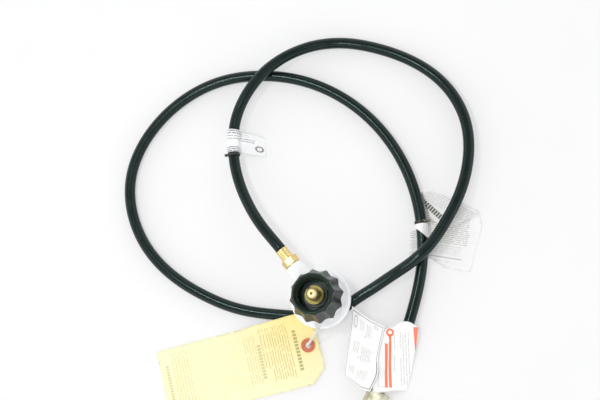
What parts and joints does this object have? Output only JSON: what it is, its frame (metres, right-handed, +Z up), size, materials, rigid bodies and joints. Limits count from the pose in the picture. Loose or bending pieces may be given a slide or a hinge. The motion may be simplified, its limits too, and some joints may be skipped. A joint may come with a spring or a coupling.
{
  "type": "propane regulator hose",
  "caption": "Low-pressure propane regulator with a hand wheel inlet and a long free hose that ends in a swivel flare nut, with its labels and tag.",
  "frame": {"origin": "centre of the closing cap's flat face, on the surface that the regulator stands on", "axes": "+Z up along the inlet and hand wheel axis, +Y the way the outlet leaves the regulator, +X to the right of it"},
  "size_m": [0.407, 0.3657, 0.067],
  "materials": {
    "casting": "satin",
    "brass": "polished",
    "steel": "satin",
    "wheel_plastic": "gloss",
    "black_plastic": "satin",
    "hose_rubber": "satin",
    "seal_rubber": "matt",
    "paper": "satin",
    "yellow_card": "matt",
    "red_fibre": "matt",
    "string": "matt",
    "olive_plastic": "satin"
  },
  "bodies": {
    "regulator": {"regulator_body": "casting", "bonnet": "casting", "bonnet_cap": "black_plastic", "bonnet_screw_1": "steel", "bonnet_screw_2": "steel", "bonnet_screw_3": "steel", "bonnet_screw_4": "steel", "bonnet_screw_5": "steel", "bonnet_screw_6": "steel", "vent_screen": "steel", "inlet_nipple": "brass", "snap_ring": "steel", "inlet_orifice": "brass", "lever_pin": "steel", "spring_seat": "steel", "adjusting_screw": "brass", "limiter_retainer": "brass", "hose_insert": "brass", "ferrule_regulator_end": "brass", "hose_tail_regulator_end": "hose_rubber", "hose": "hose_rubber", "hose_tail_far_end": "hose_rubber", "ferrule_far_end": "brass", "flare_insert": "brass", "hose_label": "paper", "hose_label_tie": "black_plastic", "leaflet_middle": "paper", "leaflet_middle_tie": "olive_plastic", "leaflet_end": "paper", "tag_card": "yellow_card", "tag_eyelet": "red_fibre", "string_loop": "string", "string_knot": "string", "string_tail": "string"},
    "bush": {"heat_bush": "black_plastic"},
    "wheel": {"hand_wheel": "wheel_plastic"},
    "nut": {"flare_nut": "brass"},
    "diaphragm_stack": {"diaphragm": "seal_rubber", "diaphragm_plate": "steel", "diaphragm_post": "brass", "main_spring": "steel"},
    "valve_lever": {"lever": "steel", "valve_pad_holder": "brass", "valve_pad": "seal_rubber"},
    "flow_limiter": {"limiter_poppet": "brass", "limiter_spring": "steel"}
  },
  "joints": [
    {"name": "wheel_slide", "type": "slide", "parent": "regulator", "child": "bush", "axis": [0, 0, 1], "range_m": [0, 0.0035]},
    {"name": "wheel_spin", "type": "hinge", "parent": "bush", "child": "wheel", "pos_m": [0, 0, 0.05], "axis": [0, 0, 1], "continuous": true},
    {"name": "nut_spin", "type": "hinge", "parent": "regulator", "child": "nut", "pos_m": [0.0001, -0.0932, 0.0095], "axis": [-0.8934, -0.4492, 0], "continuous": true},
    {"name": "diaphragm_travel", "type": "slide", "parent": "regulator", "child": "diaphragm_stack", "axis": [0, 0, 1], "range_m": [-0.0016, 0], "stiffness_N_per_m": 1500, "springref_m": 0.002, "deforming": ["diaphragm", "main_spring"]},
    {"name": "lever_swing", "type": "hinge", "parent": "regulator", "child": "valve_lever", "pos_m": [0, -0.0065, 0.025], "axis": [1, 0, 0], "range_deg": [-14.4, 0]},
    {"name": "limiter_travel", "type": "slide", "parent": "regulator", "child": "flow_limiter", "axis": [0, 0, 1], "range_m": [-0.0025, 0], "stiffness_N_per_m": 300, "springref_m": 0.001, "deforming": ["limiter_spring"]}
  ],
  "couplings": [
    {"joint": "lever_swing", "follows": "diaphragm_travel", "rad_per_m": 155.4}
  ]
}
